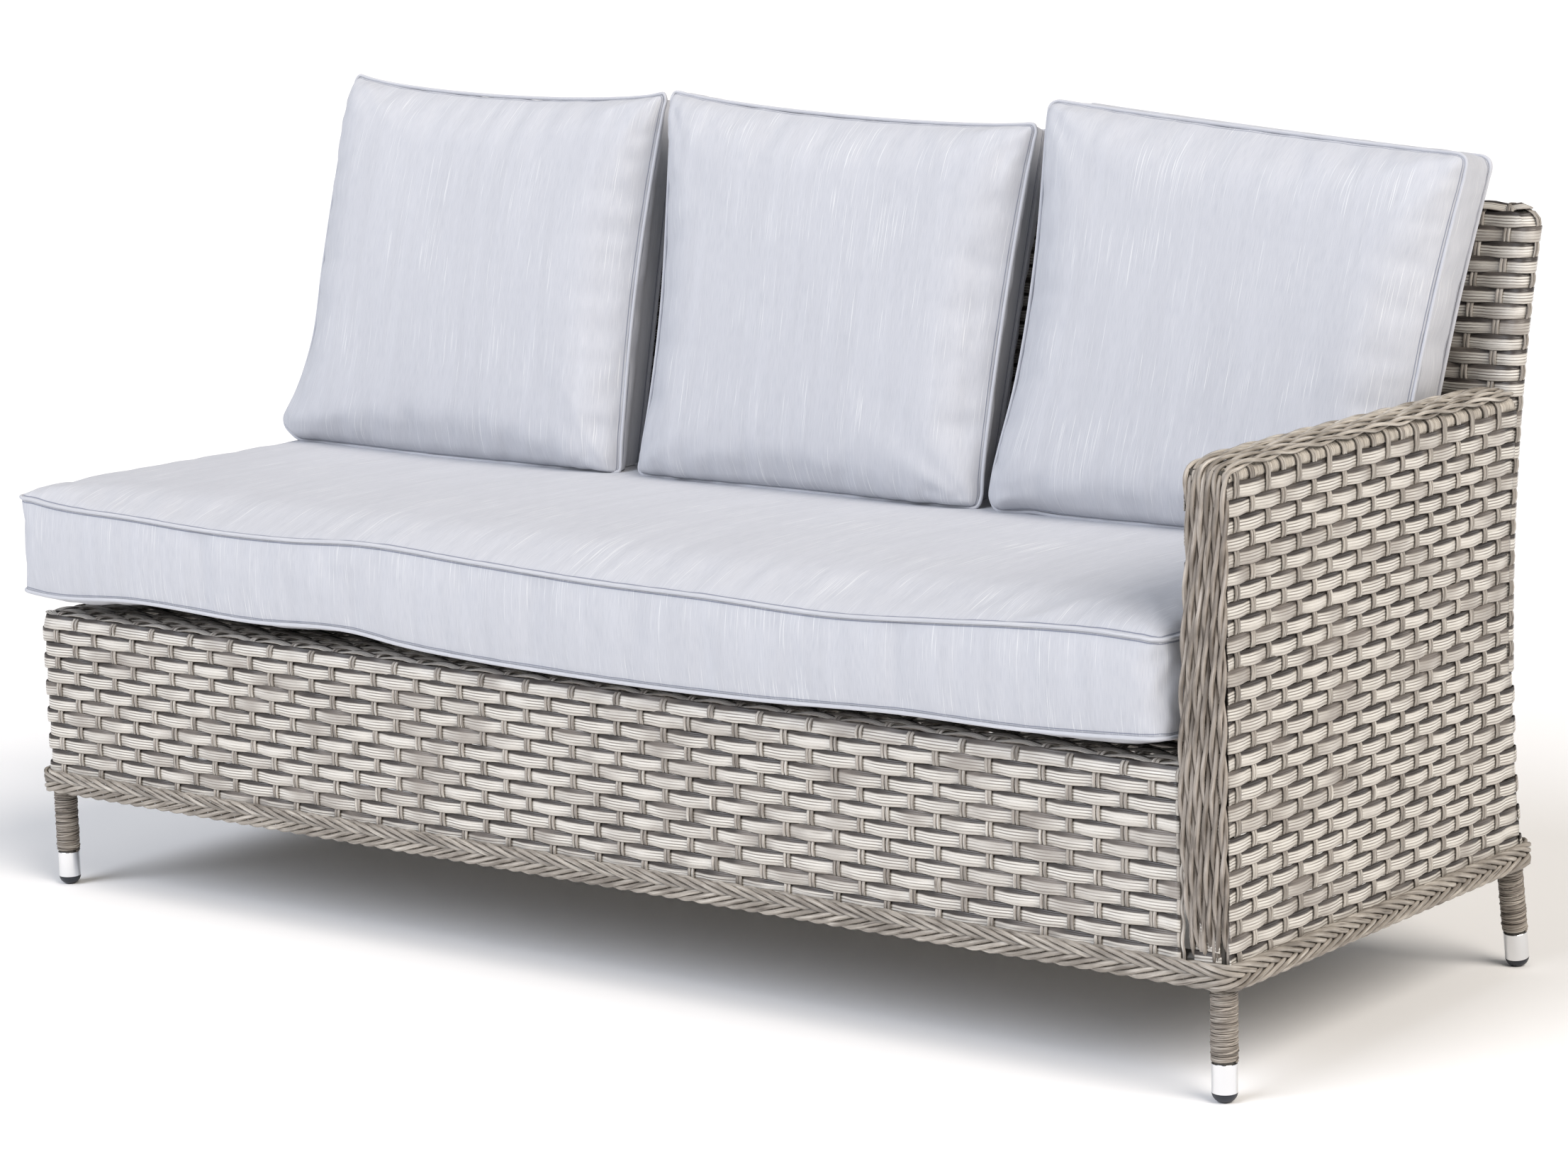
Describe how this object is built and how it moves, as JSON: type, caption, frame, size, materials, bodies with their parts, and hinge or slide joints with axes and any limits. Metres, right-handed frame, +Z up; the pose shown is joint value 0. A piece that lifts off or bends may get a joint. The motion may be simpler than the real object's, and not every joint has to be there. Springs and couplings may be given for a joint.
{
  "type": "rattan garden sofa",
  "caption": "Long outdoor sofa with one arm: a tube frame covered in woven flat synthetic rattan, plaited edges, wound capped legs, one long seat cushion and loose back cushions",
  "frame": {"origin": "On the floor under the middle of the sofa's overall length and depth", "axes": "+X along the seat towards the arm, +Y from the front of the seat to the backrest, +Z up"},
  "size_m": [1.8316, 0.7133, 1.0181],
  "materials": {
    "frame": "powder coated, satin",
    "weave": "flat synthetic strand, streaked greige and cream",
    "cane": "round synthetic cane, greige with dark seams",
    "sleeve": "bright polished",
    "cap": "satin black",
    "fabric": "pale blue-grey twill with a slub"
  },
  "bodies": {
    "root": {"front_left_leg": "frame", "front_right_post": "frame", "rear_left_post": "frame", "rear_right_post": "frame", "back_top_rail": "frame", "front_top_rail": "frame", "rear_top_rail": "frame", "left_top_rail": "frame", "right_top_rail": "frame", "front_bottom_rail": "frame", "rear_bottom_rail": "frame", "left_bottom_rail": "frame", "right_bottom_rail": "frame", "seat_bar_1": "frame", "seat_bar_2": "frame", "seat_bar_3": "frame", "seat_bar_4": "frame", "back_left_stile": "frame", "back_right_stile": "frame", "arm_front_stile": "frame", "arm_rear_stile": "frame", "arm_outer_rail": "frame", "arm_inner_rail": "frame", "front_panel": "weave", "left_end_panel": "weave", "rear_panel": "weave", "seat_deck": "weave", "arm_inner_panel": "weave", "backrest_weave": "weave", "arm_outer_panel": "weave", "front_braid": "cane", "right_braid": "cane", "rear_braid": "cane", "left_braid": "cane", "arm_post_plait": "cane", "arm_top_plait": "cane", "front_left_foot_cap": "cap", "front_left_sleeve": "sleeve", "front_left_winding": "cane", "front_right_foot_cap": "cap", "front_right_sleeve": "sleeve", "front_right_winding": "cane", "rear_left_foot_cap": "cap", "rear_left_sleeve": "sleeve", "rear_left_winding": "cane", "rear_right_foot_cap": "cap", "rear_right_sleeve": "sleeve", "rear_right_winding": "cane", "seat_cushion": "fabric", "back_cushion_left": "fabric", "back_cushion_middle": "fabric", "back_cushion_right": "fabric"}
  },
  "joints": []
}
